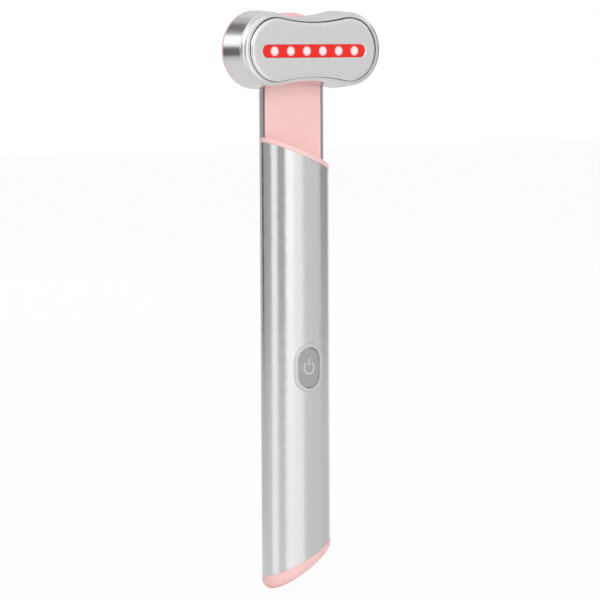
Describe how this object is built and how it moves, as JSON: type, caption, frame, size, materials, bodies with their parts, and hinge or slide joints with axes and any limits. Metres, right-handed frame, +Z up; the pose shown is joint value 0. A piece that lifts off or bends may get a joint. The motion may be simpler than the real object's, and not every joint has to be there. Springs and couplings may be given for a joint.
{
  "type": "heated eye massager wand",
  "caption": "Slim oval aluminium wand with slanted ends and one power button, carrying a peanut-shaped swivelling head with a warm massage plate and a red light window.",
  "frame": {"origin": "on the long axis of the oval grip, half way along its tube: the middle of the user's hold", "axes": "+Z up along the grip towards the head, -Y is the front that the massage plate and the power button face, +X is to the right seen from the front"},
  "size_m": [0.0504, 0.0181, 0.1698],
  "materials": {
    "anodised_aluminium": "satin, finely brushed round the grip, clear anodised",
    "pink_plastic": "satin moulded",
    "polished_metal": "polished and plated",
    "satin_plate": "satin",
    "button_rim_metal": "satin",
    "grey_plastic": "smooth",
    "light_grey_plastic": "smooth",
    "red_window": "clear tinted, lit from behind",
    "led_body": "diffused lens",
    "circuit_board": "solder mask",
    "black_plastic": "moulded",
    "dark_component": "moulded",
    "white_plastic": "moulded",
    "foam_rubber": "soft",
    "steel": "bright",
    "spring_steel": "hardened",
    "nickel": "plated strip",
    "battery_can": "wrapped",
    "motor_can": "drawn can",
    "tungsten_weight": "sintered",
    "amber_film": "thin film with a printed track",
    "wire_red": "insulated",
    "wire_grey": "insulated"
  },
  "bodies": {
    "handle": {"handle_tube": "anodised_aluminium", "neck_core": "pink_plastic", "end_cap": "pink_plastic", "inner_chassis": "white_plastic", "chassis_screws": "steel", "button_ring": "button_rim_metal", "tact_switch": "steel", "main_board": "circuit_board", "control_chip": "black_plastic", "board_parts": "dark_component", "loom_socket": "white_plastic", "board_screws": "steel", "battery_cell": "battery_can", "battery_tabs": "nickel", "battery_pad": "foam_rubber", "battery_lead": "wire_red", "charge_board": "circuit_board", "charge_ribbon": "amber_film", "usb_socket": "steel", "usb_insert": "black_plastic", "swivel_bush": "white_plastic", "head_loom": "wire_grey"},
    "head": {"head_rear_cover": "pink_plastic", "head_shell": "polished_metal", "plate_seal": "foam_rubber", "massage_plate": "satin_plate", "heater_film": "amber_film", "temperature_sensor": "black_plastic", "led_window": "red_window", "leds": "led_body", "led_board": "circuit_board", "led_board_screws": "steel", "head_socket": "white_plastic", "motor_body": "motor_can", "motor_sleeve": "foam_rubber", "motor_leads": "wire_red", "swivel_shaft": "steel", "wave_washer": "spring_steel", "retaining_ring": "spring_steel", "flange_screws": "steel"},
    "button": {"power_button": "grey_plastic", "button_icon": "light_grey_plastic", "switch_plunger": "black_plastic"},
    "rotor": {"motor_shaft": "steel", "motor_weight": "tungsten_weight"}
  },
  "joints": [
    {"name": "head_swivel", "type": "hinge", "parent": "handle", "child": "head", "pos_m": [0, 0, 0.0904], "axis": [0, -1, 0], "range_deg": [-90, 90]},
    {"name": "button_press", "type": "slide", "parent": "handle", "child": "button", "axis": [0, 1, 0], "range_m": [0, 0.0004], "stiffness_N_per_m": 3000, "springref_m": -0.0001},
    {"name": "motor_spin", "type": "hinge", "parent": "head", "child": "rotor", "pos_m": [-0.0154, -0.00325, 0.0862], "axis": [-1, 0, 0], "continuous": true}
  ]
}
